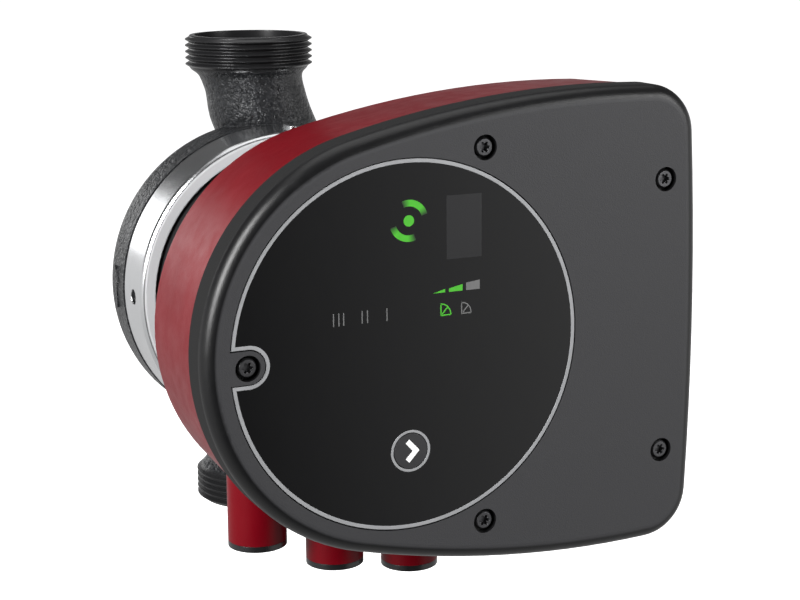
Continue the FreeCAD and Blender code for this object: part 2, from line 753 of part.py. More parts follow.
def stator_housing():
    """The black aluminium barrel that carries the stator and the control box."""
    barrel = turned("stator_barrel", [
        ("barrel_bore", "flange_front + 0.25"), ("flange_radius", "flange_front + 0.25"),
        ("flange_radius", "band_front - 1.6"), ("barrel_radius + 0.6", "band_front - 1.6"),
        ("barrel_radius", "band_front + 2"), ("barrel_radius", "barrel_front"),
        ("spigot_radius", "barrel_front"), ("spigot_radius", "spigot_front"), ("0", "spigot_front"),
        ("0", "spigot_front - 3.5"), ("barrel_bore", "spigot_front - 3.5"),
    ])
    cable_way = rod("winding_lead_way", 5, "spigot_front - 5", 8, 0, 30)
    node(cut("stator_housing", barrel, cable_way), "stator_housing")


# ---- control box

def control_box_shell():
    """The red shell: tapered wall, back wall, screw bosses and three cable tubes."""
    skin = flared("shell_skin", "shell_back_inset", "shell_inset", "shell_back", "shell_front - shell_back")
    hollow = flared("shell_hollow", "shell_back_inset + shell_wall", "shell_inset + shell_wall",
                    "shell_back + shell_floor", "shell_front - shell_back")
    tubes = [post(f"tube_{side}", "tube_radius", x, "tube_depth", f"{low} + plug_rim", 30)
             for side, x, low in CABLE_TUBES]
    bosses = [rod(f"shell_boss_{index}", "boss_radius", "shell_back + 1",
                  "shell_front - shell_back - 1.6", x, up)
              for index, (x, up) in enumerate(COVER_SCREWS)]
    hull = fuse("shell_hull", skin, *tubes)
    inner_round = doc.addObject("Part::Common", "shell_bosses")
    inner_round.Base = fuse("shell_boss_set", *bosses)
    inner_round.Tool = skin
    open_box = cut("shell_open", hull, hollow)
    filled = fuse("shell_filled", open_box, inner_round)
    holes = [rod("shell_collar", "spigot_radius + 0.2", "shell_back - 1", 6)]
    holes += [rod(f"shell_pilot_{index}", "screw_shank_radius + 0.05", "shell_front - 14", 20, x, up)
              for index, (x, up) in enumerate(COVER_SCREWS)]
    holes += [post(f"tube_way_{side}", "tube_bore", x, "tube_depth", low, 36)
              for side, x, low in CABLE_TUBES]
    node(cut("control_box_shell", filled, *holes), "control_box_shell")

    for side, x, low in CABLE_TUBES:
        rim = post(f"plug_rim_{side}", "tube_radius", x, "tube_depth", low, "plug_rim - 0.05")
        stem = post(f"plug_stem_{side}", "tube_bore - 0.1", x, "tube_depth", low + 1.0, 13)
        well = post(f"plug_well_{side}", "tube_bore - 2.2", x, "tube_depth", low + 3.5, 12)
        dimple = post(f"plug_dimple_{side}", "tube_bore - 2", x, "tube_depth", low - 0.1, 0.9)
        node(cut(f"cable_entry_plug_{side}", fuse(f"plug_{side}", rim, stem), well, dimple),
             f"cable_entry_plug_{side}")


def gasket():
    """The rubber gasket between the shell's rim and the cover."""
    band = slab("gasket_outside", "shell_inset + 0.3", "shell_front", "gasket_height")
    inside = slab("gasket_inside", "shell_inset + shell_wall - 0.2", "shell_front - 1", "gasket_height + 2")
    node(cut("control_box_gasket", band, inside), "control_box_gasket")


def notch(name, widen, start, length):
    """The U-shaped slot that lets the left screw's boss into the window's rim."""
    radius = f"notch_radius + {widen}"
    end = rod(f"{name}_end", radius, start, length, "notch_x", "notch_up")
    run = brick(f"{name}_run", "-left_radius", start, f"notch_up - ({radius})", "left_radius + notch_x",
                length, f"2 * ({radius})")
    return fuse(name, end, run)


def front_cover():
    """The dark cover with its rounded front edge, window seat, aperture and screw wells."""
    skin = slab("cover_skin", "0", "shell_front + gasket_height + 0.05",
                "box_front - shell_front - gasket_height - 0.05")
    front = -number("box_front")
    soft = rounded("cover_soft_edge", skin, "cover_round",
                   lambda edge: all(abs(point.Point.y - front) < 0.01 for point in edge.Vertexes))
    hollow = slab("cover_hollow", "cover_wall", "shell_front - 1", "box_front - cover_face - shell_front + 1")
    bosses = [rod(f"cover_boss_{index}", "boss_radius", "shell_front + gasket_height + 0.05",
                  "box_front - shell_front - cover_face", x, up)
              for index, (x, up) in enumerate(COVER_SCREWS)]
    lid = fuse("cover_lid", cut("cover_open", soft, hollow), *bosses)
    seat_round = rod("window_seat_round", "trim_radius + seat_gap",
                     "box_front - window_depth - window_sink", 9)
    seat = cut("window_seat", seat_round, notch("seat_notch", "-seat_gap", "box_front - 9", 20))
    aperture = cut("aperture_tool", rod("aperture_round", "aperture_radius", "shell_front", 40),
                   rod("aperture_keep", "boss_radius + 1.2", "shell_front - 1", 50, *COVER_SCREWS[4]))
    holes = [seat, aperture]
    for index, (x, up) in enumerate(COVER_SCREWS):
        holes.append(rod(f"cover_well_{index}", "counterbore_screw",
                         "box_front - screw_sink - screw_head_height - 0.05", 12, x, up))
        holes.append(rod(f"cover_hole_{index}", "screw_shank_radius + 0.2", "shell_front - 2", 30, x, up))
    node(cut("front_cover", lid, *holes), "front_cover")


def cover_screws():
    """Five identical six-lobe screws that hold the cover on the shell."""
    screws = []
    for index, (x, up) in enumerate(COVER_SCREWS):
        seat, top = "box_front - screw_sink - screw_head_height", "box_front - screw_sink"
        head = turned(f"screw_head_{index}", [
            ("0", seat), ("screw_head_radius", seat), ("screw_head_radius", f"{top} - screw_head_bevel"),
            ("screw_head_radius - screw_head_bevel", top), ("0", top),
        ], x, up)
        shank = rod(f"screw_shank_{index}", "screw_shank_radius", "box_front - screw_sink - 22", 20, x, up)
        floor = "box_front - screw_sink - 1.6"
        star = fuse(f"star_{index}", rod(f"star_core_{index}", 1.25, floor, 3, x, up))
        star.Shapes += [rod(f"lobe_{index}_{turn}", 0.5, floor, 3,
                            x + 1.35 * math.cos(math.radians(60 * turn)),
                            up + 1.35 * math.sin(math.radians(60 * turn))) for turn in range(6)]
        screws.append(cut(f"screw_{index}", fuse(f"screw_blank_{index}", head, shank), star))
    node(group("cover_screws", *screws), "cover_screws")


def display():
    """Gloss window, polished trim line, light guide, board, lamps and the push-button."""
    back = "box_front - window_depth - window_sink"
    disc = cut("window_disc", rod("window_round", "trim_radius - trim_width", back, "window_depth"),
               notch("window_notch", "trim_width", "box_front - 9", 20))
    way = rod("window_button_way", "bezel_radius + 0.05", "box_front - 9", 20, 0, "button_up")
    node(cut("display_window", disc, way), "display_window")

    whole = cut("trim_area", rod("trim_round", "trim_radius", back, "window_depth + 0.1"),
                notch("trim_notch", "0", "box_front - 9", 20))
    glass_round = rod("trim_inside_round", "trim_radius - trim_width + 0.02", "box_front - 9", 20)
    glass = cut("trim_inside", glass_round,
                notch("trim_inside_notch", "trim_width - 0.02", "box_front - 10", 24))
    node(cut("window_trim", whole, glass), "window_trim")
    node(ring("button_bezel", "bezel_radius", "button_radius + air_gap", back, "window_depth + 0.1", 0,
              "button_up"), "button_bezel")

    board_front = "hmi_board_depth + board_thickness"
    board = rod("hmi_disc", 48.5, "hmi_board_depth", "board_thickness")
    fixings = [(30, 30), (-30, 30), (30, -30), (-30, -30)]
    holes = [rod(f"hmi_hole_{x}_{up}", 1.6, "hmi_board_depth - 1", 5, x, up) for x, up in fixings]
    node(cut("hmi_board", board, *holes), "hmi_board")
    node(group("hmi_board_screws", *[
        fuse(f"hmi_screw_{x}_{up}",
             rod(f"hmi_screw_head_{x}_{up}", 2.7, f"{board_front} + 0.02", 1.6, x, up),
             rod(f"hmi_screw_shank_{x}_{up}", 1.4, "hmi_board_depth - 5", 7, x, up))
        for x, up in fixings]), "hmi_board_screws")
    node(group("hmi_board_pillars", *[
        ring(f"hmi_pillar_{x}_{up}", 3.2, 1.5, "power_board_depth + board_thickness + 0.02",
             "hmi_board_depth - power_board_depth - board_thickness - 0.04", x, up)
        for x, up in fixings]), "hmi_board_pillars")

    # lamps: one behind the status light, one for each bar and symbol
    lamps = [(-0.5, 40.5), (10, 17), (16, 17), (22, 17.5), (12.5, 10.8), (19.5, 10.8), (-24.8, 10.8),
             (-15.9, 10.8), (-8.3, 10.8)]
    node(group("status_leds", *[
        brick(f"led_{index}", x - 1.2, f"{board_front} + 0.02", up - 0.8, 2.4, 1.2, 1.6)
        for index, (x, up) in enumerate(lamps)]), "status_leds")
    guide = rod("guide_disc", 46, f"{board_front} + 2.4", f"{back} - ({board_front}) - 2.5")
    ways = [rod(f"guide_way_{index}", 2.0, "hmi_board_depth", 20, x, up)
            for index, (x, up) in enumerate(lamps)]
    ways.append(rod("guide_button_way", "button_radius + 2.4", "hmi_board_depth", 20, 0, "button_up"))
    node(cut("light_guide", guide, *ways), "light_guide")

    top = "box_front - window_sink + 0.1"
    cap = rod("button_cap", "button_radius", f"{top} - 5", 5, 0, "button_up")
    brim = rod("button_brim", "button_radius + 1.7", f"{back} - 1.35", 1.1, 0, "button_up")
    stem = rod("button_stem", 1.6, f"{board_front} + 2.9", 6, 0, "button_up")
    mark = cut("button_mark_seat", fuse("button_solid", cap, brim, stem),
               chevron("mark_seat", 0.05, "mark_sink + 0.05", 2))
    node(mark, "push_button")
    node(chevron("button_chevron", 0.0, "mark_sink", "mark_sink"), "button_chevron")

    case = brick("switch_case", -3.1, f"{board_front} + 0.02", "button_up - 3.1", 6.2, 3.4, 6.2)
    throat = rod("switch_throat", 1.9, f"{board_front} + 1.2", 5, 0, "button_up")
    node(cut("button_switch", case, throat), "button_switch")
    dome = doc.addObject("Part::Cone", "switch_dome")
    bind(dome, Radius1=1.8, Radius2=0.9, Height=0.6)
    locate(dome, 0, f"{board_front} + 1.22", "button_up")
    node(dome, "switch_dome")


def chevron(name, grow, sink, thick):
    """The arrow mark on the button: two square-ended strokes that meet in a point, set into its face."""
    tip, back, reach = number("mark_tip"), number("mark_back"), number("mark_reach")
    length = math.hypot(tip - back, reach)
    across, along = (tip - back) / length, reach / length
    stroke = number("mark_stroke") + 2 * grow
    point = tip + grow / along
    outer_x = back + grow * (along - across)
    outer_up = reach + grow * (along + across)
    inner_x = outer_x - stroke * along
    inner_up = outer_up - stroke * across
    return plate(name, [
        (inner_x, f"button_up + {inner_up}"), (outer_x, f"button_up + {outer_up}"), (point, "button_up"),
        (outer_x, f"button_up - {outer_up}"), (inner_x, f"button_up - {inner_up}"),
        (point - stroke / along, "button_up"),
    ], f"box_front - window_sink + 0.1 - ({sink})", thick)


def electronics():
    """Power board with its larger parts, heat spreader and terminal blocks."""
    board = slab("power_slab", 9, "power_board_depth", "board_thickness")
    keep_clear = [rod(f"board_clear_{index}", "boss_radius + 0.8", "power_board_depth - 1", 5, x, up)
                  for index, (x, up) in enumerate(COVER_SCREWS)]
    tube_clear = [post(f"board_tube_{side}", "tube_radius + 0.5", x, "tube_depth", low, 33)
                  for side, x, low in CABLE_TUBES]
    node(cut("power_board", board, *keep_clear, *tube_clear), "power_board")

    front = "power_board_depth + board_thickness + 0.02"
    base = brick("spreader_base", -24, "spigot_front + 0.02", -22, 48, 3, 40)
    ribs = [brick(f"spreader_rib_{step}", -24 + 7.5 * step, "spigot_front + 2.5", -22, 3, 4.4, 40)
            for step in range(7)]
    node(fuse("heat_spreader", base, *ribs), "heat_spreader")
    node(group("dc_capacitors", *[rod(f"capacitor_{up}", 8, front, 20, 84, up) for up in (12, -6)]),
         "dc_capacitors")
    choke = bind(doc.addObject("Part::Torus", "filter_choke"), Radius1=8.5, Radius2=4.2)
    node(locate(choke, 62, f"{front} + 4.25", -10), "filter_choke")
    node(brick("mains_relay", 52, front, 12, 19, 15, 15), "mains_relay")
    node(brick("power_module", -16, front, -6, 32, 5, 18), "power_module")
    node(brick("controller_chip", -8, front, 22, 12, 1.4, 12), "controller_chip")

    blocks = []
    for index, (x, ways) in enumerate([(-34, 3), (-14, 3), (10, 4)]):
        width = 5.0 * ways
        case = brick(f"terminal_case_{index}", x, front, -42.6, width, 10, 9)
        wells = [rod(f"terminal_well_{index}_{way}", 1.6, f"{front} + 6", 6, x + 2.5 + 5.0 * way, -36.6)
                 for way in range(ways)]
        doors = [brick(f"terminal_door_{index}_{way}", x + 1 + 5.0 * way, f"{front} + 1.5", -43.6, 3, 3.4, 6)
                 for way in range(ways)]
        blocks.append(cut(f"terminal_{index}", case, *wells, *doors))
    node(group("terminal_blocks", *blocks), "terminal_blocks")
    board_gap = "hmi_board_depth - power_board_depth - board_thickness - 0.06"
    node(brick("board_connector", 34, front, -4, 6, board_gap, 16), "board_connector")


outline = outline_sketch()
pump_housing()
neck_ring()
housing_seal()
clamp_band()
impeller()
rotor()
bearings()
rotor_can()
stator()
stator_housing()
control_box_shell()
gasket()
front_cover()
cover_screws()
display()
electronics()
doc.recompute()

# ---- check every object and write each sub-part

for item in doc.Objects:
    if "Invalid" in item.State or "Error" in item.State:
        raise RuntimeError(f"{item.Name} ({item.Label}) is {item.State}")
for item in nodes:
    if item.Shape.isNull() or not item.Shape.isValid() or item.Shape.Volume <= 0:
        raise RuntimeError(f"{item.Label} has no valid solid")

os.makedirs("parts", exist_ok=True)
for item in nodes:
    item.Shape.exportStep(f"parts/{item.Label}.step")
    print(f"{item.Label}: {item.Shape.Volume / 1000:.2f} cm3, {len(item.Shape.Solids)} solid(s)")
print(len(nodes), "sub-parts")
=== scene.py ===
import json
import math

import bmesh
import bpy
from mathutils import Matrix, Vector


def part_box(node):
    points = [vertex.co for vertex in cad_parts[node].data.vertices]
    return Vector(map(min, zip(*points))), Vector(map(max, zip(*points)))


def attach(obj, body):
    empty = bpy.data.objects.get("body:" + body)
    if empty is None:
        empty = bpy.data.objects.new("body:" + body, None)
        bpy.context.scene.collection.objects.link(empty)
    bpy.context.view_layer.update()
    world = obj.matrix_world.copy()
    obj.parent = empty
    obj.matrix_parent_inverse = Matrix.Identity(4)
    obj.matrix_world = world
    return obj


# The looks of a wet-rotor circulator pump: finishes for every part of the frame, the graphics
# behind its round window, a studio and a camera. Lengths are metres; +Z runs up the pipe axis
# and the control box faces -Y. "Up" is the height above the motor shaft.

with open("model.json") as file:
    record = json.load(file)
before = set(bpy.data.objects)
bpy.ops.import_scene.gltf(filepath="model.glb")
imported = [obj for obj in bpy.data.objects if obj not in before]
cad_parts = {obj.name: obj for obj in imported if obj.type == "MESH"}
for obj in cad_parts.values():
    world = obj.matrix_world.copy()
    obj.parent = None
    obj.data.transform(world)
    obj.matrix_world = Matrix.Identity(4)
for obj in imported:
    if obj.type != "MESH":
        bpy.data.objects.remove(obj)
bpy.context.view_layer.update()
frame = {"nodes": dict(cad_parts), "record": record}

MM = 0.001
SHAFT = Vector((0, 0, 90 * MM))
WHITE = (1.0, 1.0, 1.0, 1.0)

window_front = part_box("display_window")[0].y
cover_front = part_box("front_cover")[0].y
band_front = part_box("clamp_band")[0].y
housing_low, housing_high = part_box("pump_housing")


def srgb(red, green, blue):
    """A colour as it reads on screen, 0 to 255, turned into linear light."""
    def linear(value):
        value /= 255
        return value / 12.92 if value <= 0.04045 else ((value + 0.055) / 1.055) ** 2.4

    return (linear(red), linear(green), linear(blue), 1.0)


def lighter(colour, gain, lift):
    """The paler colour that edges wear to."""
    return tuple(min(1.0, channel * gain + lift) for channel in colour[:3]) + (1.0,)


# ---- node trees

NOISE_LOW, NOISE_HIGH = 0.3, 0.7        # nearly all of a noise lies between these
FLAT, SHARP = 0.995, 0.85               # how far a softened normal agrees with the true one
WEAR_GRAIN = 1.2 * MM


class Finish:
    """A procedural material, built up from noise, bumps and masks in the part's own space."""

    def __init__(self, name, colour, roughness, metallic=0.0, specular=0.5):
        self.material = bpy.data.materials.new(name)
        self.material.use_nodes = True
        self.tree = self.material.node_tree
        self.shader = self.tree.nodes["Principled BSDF"]
        self.shader.inputs["Specular IOR Level"].default_value = specular
        self.place = self.add("ShaderNodeTexCoord").outputs["Object"]
        self.colour = colour
        self.roughness = roughness
        self.metallic = metallic
        self.normal = None

    def add(self, kind, inputs=None, **settings):
        made = self.tree.nodes.new(kind)
        for key, value in settings.items():
            setattr(made, key, value)
        for key, value in (inputs or {}).items():
            if isinstance(value, bpy.types.NodeSocket):
                self.tree.links.new(value, made.inputs[key])
            elif value is not None:
                made.inputs[key].default_value = value
        return made

    def maths(self, operation, first, second=None):
        return self.add("ShaderNodeMath", {0: first, 1: second}, operation=operation).outputs[0]

    def vector_maths(self, operation, first, second, output="Vector"):
        made = self.add("ShaderNodeVectorMath", {0: first, 1: second}, operation=operation)
        return made.outputs[output]

    def spread(self, value, low, high, out_low, out_high):
        """Map a value from one range to another, held at both ends."""
        return self.add("ShaderNodeMapRange", {
            "Value": value, "From Min": low, "From Max": high, "To Min": out_low, "To Max": out_high,
        }).outputs["Result"]

    def noise(self, size, detail=2.0, harshness=0.5, place=None):
        """Noise whose lumps are about size metres across."""
        return self.add("ShaderNodeTexNoise", {
            "Vector": place or self.place, "Scale": 1 / size, "Detail": detail,
            "Roughness": harshness,
        }).outputs["Fac"]

    def split(self, vector=None):
        """The X, Y and Z of a vector, or of the place on the part."""
        return self.add("ShaderNodeSeparateXYZ", {"Vector": vector or self.place}).outputs

    def mapped(self, **settings):
        """The place on the part, scaled or turned."""
        return self.add("ShaderNodeMapping", {"Vector": self.place, **settings}).outputs["Vector"]

    def blend(self, share, first, second):
        """Mix two colours by a share from 0 to 1."""
        made = self.add("ShaderNodeMix", {0: share, 6: first, 7: second}, data_type="RGBA")
        return made.outputs[2]

    def mottle(self, size, amount):
        """Broad patches a little darker and lighter than the colour."""
        patch = self.spread(self.noise(size, detail=3.0), NOISE_LOW, NOISE_HIGH, 1 - amount, 1 + amount)
        base = self.colour[:3] if isinstance(self.colour, tuple) else self.colour
        made = self.add("ShaderNodeVectorMath", {0: base, "Scale": patch}, operation="SCALE")
        self.colour = made.outputs["Vector"]

    def uneven(self, size, amount):
        """Gloss that varies from place to place."""
        patch = self.noise(size, detail=4.0, harshness=0.6)
        change = self.spread(patch, NOISE_LOW, NOISE_HIGH, -amount, amount)
        self.roughness = self.maths("ADD", self.roughness, change)

    def bump(self, height, distance, share=1.0):
        """Raise the surface by a height from 0 to 1 times a distance in metres."""
        made = self.add("ShaderNodeBump", {
            "Height": height, "Distance": distance, "Strength": share, "Normal": self.normal,
        })
        self.normal = made.outputs["Normal"]

    def grain(self, size, height, detail=2.0, harshness=0.5, share=1.0, place=None):
        """Raise a fine relief of that height; share fades it from place to place."""
        self.bump(self.noise(size, detail, harshness, place), height, share)

    def edges(self, radius, colour, amount):
        """Soften the edges that the light sees and wear them towards a colour."""
        soft = self.add("ShaderNodeBevel", {"Radius": radius}, samples=6).outputs["Normal"]
        true = self.add("ShaderNodeNewGeometry").outputs["Normal"]
        facing = self.vector_maths("DOT_PRODUCT", soft, true, "Value")
        worn = self.spread(facing, FLAT, SHARP, 0.0, amount)
        patch = self.noise(WEAR_GRAIN, detail=4.0, harshness=0.6)
        patchy = self.spread(patch, low=0.4, high=0.65, out_low=0.2, out_high=1.0)
        self.colour = self.blend(self.maths("MULTIPLY", worn, patchy), self.colour, colour)
        if self.normal is None:
            self.normal = soft

    def region(self, share, colour, roughness, metallic=None):
        """Give the places where share is 1 another colour and gloss."""
        self.colour = self.blend(share, self.colour, colour)
        gap = self.maths("MULTIPLY", share, self.maths("SUBTRACT", roughness, self.roughness))
        self.roughness = self.maths("ADD", self.roughness, gap)
        if metallic is not None:
            self.metallic = self.spread(share, 0.0, 1.0, self.metallic, metallic)

    def done(self, **settings):
        """Join the layers to the shader, set its uniform sockets and give the material."""
        for socket, value in (("Base Color", self.colour), ("Roughness", self.roughness),
                              ("Metallic", self.metallic), ("Normal", self.normal)):
            if isinstance(value, bpy.types.NodeSocket):
                self.tree.links.new(value, self.shader.inputs[socket])
            elif value is not None:
                self.shader.inputs[socket].default_value = value
        for key, value in settings.items():
            self.shader.inputs[key.replace("_", " ").title()].default_value = value
        return self.material


# ---- finishes, one for each slot of the record

THREADED_END = 12.2 * MM                # how far in from each port face the casting is machined
MACHINED_BLEND = 1.0 * MM
BAND_LIP = (0.05 * MM, 0.3 * MM)        # depths from the band's front where its lip is full and ends
COVER_FACE = (0.05 * MM, 0.25 * MM)     # the same for the cover's grained face
# the side wall between these depths is matt and also painted darker as shade
COVER_WALL = (4.2 * MM, 5.4 * MM)       # depths where the cover's matt side wall starts and is full
BRUSH_RADIAN = 2 * MM                   # one radian round the band counts as this to the brushing


def black_casting():
    """Electro-coated cast iron: coarse sand grain on the walls, smooth and glossier on the threads."""
    look = Finish("black_casting", srgb(33, 34, 36), roughness=0.31, specular=0.38)
    height = look.split()["Z"]
    off_centre = look.maths("ABSOLUTE", look.maths("SUBTRACT", height, SHAFT.z))
    thread_start = (housing_high.z - housing_low.z) / 2 - THREADED_END
    machined = look.spread(off_centre, thread_start - MACHINED_BLEND, thread_start, 0.0, 1.0)
    cast = look.maths("SUBTRACT", 1.0, machined)
    look.mottle(size=9 * MM, amount=0.16)
    look.mottle(size=1.5 * MM, amount=0.5)
    look.uneven(size=1.6 * MM, amount=0.1)
    look.edges(radius=0.35 * MM, colour=srgb(84, 85, 87), amount=0.35)
    look.grain(size=5 * MM, height=0.4 * MM, share=cast)
    look.grain(size=1.6 * MM, height=0.9 * MM, harshness=0.6, share=cast)
    look.region(machined, srgb(30, 30, 31), roughness=0.27)
    return look.done()


def polished_steel():
    """Rolled stainless band: mirror-like outside with faint brushing round it, satin front lip."""
    look = Finish("polished_steel", srgb(224, 225, 227), roughness=0.2, metallic=1.0)
    place = look.split(look.vector_maths("SUBTRACT", look.place, tuple(SHAFT)))
    square = look.maths("ADD", look.maths("MULTIPLY", place["X"], place["X"]),
                        look.maths("MULTIPLY", place["Z"], place["Z"]))
    angle = look.maths("ARCTAN2", place["Z"], place["X"])
    brushed = look.add("ShaderNodeCombineXYZ", {
        "X": look.maths("SQRT", square), "Y": place["Y"],
        "Z": look.maths("MULTIPLY", angle, BRUSH_RADIAN),
    }).outputs["Vector"]
    look.mottle(size=14 * MM, amount=0.03)
    look.uneven(size=5 * MM, amount=0.03)
    look.edges(radius=0.5 * MM, colour=srgb(238, 239, 240), amount=0.5)
    look.grain(size=0.16 * MM, height=0.006 * MM, place=brushed)
    full, end = BAND_LIP
    lip = look.spread(place["Y"], band_front + end, band_front + full, 0.0, 1.0)
    look.region(lip, srgb(226, 227, 229), roughness=0.5, metallic=0.1)
    return look.done()


def red_enamel():
    """Deep red powder coat with a fine orange-peel skin."""
    look = Finish("red_enamel", srgb(106, 3, 16), roughness=0.38, specular=0.12)
    look.mottle(size=22 * MM, amount=0.07)
    look.uneven(size=6 * MM, amount=0.05)
    look.edges(radius=0.3 * MM, colour=srgb(170, 52, 66), amount=0.3)
    look.grain(size=0.9 * MM, height=0.035 * MM, detail=3.0, harshness=0.55)
    look.grain(size=0.22 * MM, height=0.012 * MM)
    return look.done()


def cover_plastic():
    """Black moulded cover: a spark-eroded grey face, a glossier rounded edge and a matt side wall
    darkened with painted shade.
    """
    look = Finish("cover_plastic", srgb(18, 18, 19), roughness=0.32, specular=0.4)
    depth = look.split()["Y"]
    full, end = COVER_FACE
    face = look.spread(depth, cover_front + end, cover_front + full, 0.0, 1.0)
    start, full = COVER_WALL
    matt_shaded_wall = look.spread(depth, cover_front + start, cover_front + full, 0.0, 1.0)
    look.mottle(size=18 * MM, amount=0.08)
    look.uneven(size=3 * MM, amount=0.04)
    look.grain(size=0.45 * MM, height=0.045 * MM, detail=3.0, harshness=0.6)
    # painted shade: the side wall is coloured darker than the rest of the cover, as well as being made
    # matt
    look.region(matt_shaded_wall, srgb(10, 10, 11), roughness=0.88)
    look.region(face, srgb(58, 58, 60), roughness=0.5)
    look.grain(size=0.3 * MM, height=0.05 * MM, harshness=0.6, share=face)
    return look.done()


def window_gloss():
    """Tinted polycarbonate, printed black behind: a clear gloss with the faintest waviness."""
    look = Finish("window_gloss", srgb(12, 12, 13), roughness=0.12)
    look.mottle(size=40 * MM, amount=0.05)
    look.uneven(size=12 * MM, amount=0.02)
    look.grain(size=9 * MM, height=0.01 * MM, detail=1.0)
    return look.done()


def moulded(name, colour, roughness, skin):
    """Moulded plastic or rubber: a fine even skin, slightly worn at the edges."""
    look = Finish(name, colour, roughness)
    look.mottle(size=8 * MM, amount=0.06)
    look.uneven(size=2 * MM, amount=0.05)
    look.edges(radius=0.2 * MM, colour=lighter(colour, gain=1.5, lift=0.01), amount=0.4)
    look.grain(size=0.3 * MM, height=skin)
    return look.done()


def tooled(name, colour, roughness, metallic=1.0):
    """A hard surface with fine tool marks and bright worn edges, mostly bare or plated metal."""
    look = Finish(name, colour, roughness, metallic=metallic)
    look.mottle(size=6 * MM, amount=0.06)
    look.uneven(size=1.5 * MM, amount=0.07)
    look.edges(radius=0.15 * MM, colour=lighter(colour, gain=1.25, lift=0.03), amount=0.7)
    look.grain(size=0.25 * MM, height=0.004 * MM, place=look.mapped(Scale=(1.0, 8.0, 1.0)))
    return look


def lamination():
    """Stacked electrical steel: fine dark seams between the sheets along the shaft."""
    sheet, seam_share = 0.5 * MM, 0.18
    look = tooled("lamination", srgb(150, 150, 152), roughness=0.45)
    seam = look.maths("FRACT", look.maths("DIVIDE", look.split()["Y"], sheet))
    dark = look.maths("LESS_THAN", seam, seam_share)
    look.colour = look.blend(dark, look.colour, srgb(60, 60, 62))
    return look.done()


def wound_copper():
    """Enamelled copper wire, laid round the shaft in fine turns, with painted shade in the grooves
    between them.
    """
    look = tooled("copper", srgb(190, 104, 58), roughness=0.3)
    turns = look.add("ShaderNodeTexWave", {
        "Vector": look.place, "Scale": 180.0, "Distortion": 1.2, "Detail": 1.0,
    }, wave_type="RINGS", rings_direction="Y").outputs["Fac"]
    look.bump(turns, distance=0.2 * MM)
    # painted shade: the grooves between the turns are coloured a darker copper
    shaded_gaps = look.spread(turns, low=0.0, high=0.5, out_low=0.7, out_high=0.0)
    look.colour = look.blend(shaded_gaps, look.colour, srgb(92, 40, 22))
    return look.done()


def circuit_board():
    """Green solder mask with the lines of the copper tracks just showing through."""
    look = Finish("board_green", srgb(18, 92, 52), roughness=0.32)
    look.mottle(size=10 * MM, amount=0.08)
    look.uneven(size=2 * MM, amount=0.05)
    tracks = look.add("ShaderNodeTexBrick", {
        "Vector": look.mapped(Rotation=(math.pi / 2, 0.0, 0.0)), "Scale": 120.0,
        "Mortar Size": 0.035, "Mortar Smooth": 0.2,
    }).outputs["Fac"]
    look.colour = look.blend(tracks, look.colour, srgb(60, 132, 74))
    look.edges(radius=0.1 * MM, colour=srgb(150, 150, 96), amount=0.5)
    look.bump(tracks, distance=0.03 * MM)
    return look.done()


def printed(name, colour, glow=0.0):
    """Ink or lit legend behind the window, with a slight unevenness of print; a glow given to plain ink
    is painted light.
    """
    look = Finish(name, colour, roughness=0.4)
    look.mottle(size=1.5 * MM, amount=0.05)
    look.uneven(size=1 * MM, amount=0.05)
    look.grain(size=0.2 * MM, height=0.004 * MM)
    return look.done(emission_color=colour, emission_strength=glow)


METALS = {                              # colour, roughness, metallic
    "stainless": (srgb(200, 201, 203), 0.26, 1.0),
    "zinc_steel": (srgb(188, 190, 194), 0.3, 1.0),
    "ceramic": (srgb(226, 220, 206), 0.22, 0.0),
    "magnet": (srgb(86, 86, 90), 0.42, 1.0),
    "carbon": (srgb(46, 46, 48), 0.5, 0.0),
    "heat_alloy": (srgb(196, 198, 202), 0.34, 1.0),
    "dark_screw": (srgb(92, 92, 94), 0.42, 1.0),
    "trim_metal": (srgb(168, 169, 171), 0.42, 0.25),
}

MOULDINGS = {                           # colour, roughness, height of the skin's grain
    "black_aluminium": (srgb(34, 35, 36), 0.4, 0.03 * MM),
    "seal_rubber": (srgb(22, 22, 22), 0.62, 0.02 * MM),
    "impeller_composite": (srgb(40, 42, 44), 0.45, 0.02 * MM),
    "black_plastic": (srgb(26, 26, 27), 0.3, 0.02 * MM),
    "light_white": (srgb(222, 222, 216), 0.45, 0.02 * MM),
    "button_face": (srgb(48, 48, 50), 0.42, 0.012 * MM),
    "relay_case": (srgb(52, 58, 74), 0.38, 0.02 * MM),
    "capacitor_sleeve": (srgb(34, 40, 72), 0.28, 0.02 * MM),
    "choke_core": (srgb(64, 112, 84), 0.5, 0.02 * MM),
    "chip_epoxy": (srgb(32, 32, 34), 0.48, 0.02 * MM),
    "terminal_plastic": (srgb(52, 118, 74), 0.4, 0.02 * MM),
}


def finishes():
    """Every slot's material by name."""
    looks = {
        "black_casting": black_casting(),
        "polished_steel": polished_steel(),
        "red_enamel": red_enamel(),
        "cover_plastic": cover_plastic(),
        "window_gloss": window_gloss(),
        "lamination": lamination(),
        "copper": wound_copper(),
        "board_green": circuit_board(),
        "led_lens": printed("led_lens", srgb(150, 220, 120)),
        # painted glow: the white marks are print, yet they are given a faint glow of their own
        "mark_white": printed("mark_white", srgb(246, 246, 246), glow=0.25),
    }
    looks.update((name, tooled(name, *row).done()) for name, row in METALS.items())
    looks.update((name, moulded(name, *row)) for name, row in MOULDINGS.items())
    return looks


def dress_frame(looks):
    """Give every part of the frame the finish that its record slot names."""
    for part in frame["record"]["subparts"]:
        mesh = frame["nodes"][part["node"]].data
        mesh.materials.clear()
        mesh.materials.append(looks[part["material_slot"]])


# ---- graphics on the window, all flat shapes with a little thickness

PRINT_SHIFT = 0.4 * MM                  # the whole print sits this much to the right
PRINT_LIFT, PRINT_THICK = 0.02 * MM, 0.03 * MM
PANE_LIFT, PANE_THICK = 0.004 * MM, 0.006 * MM
ARC_STEPS = 24

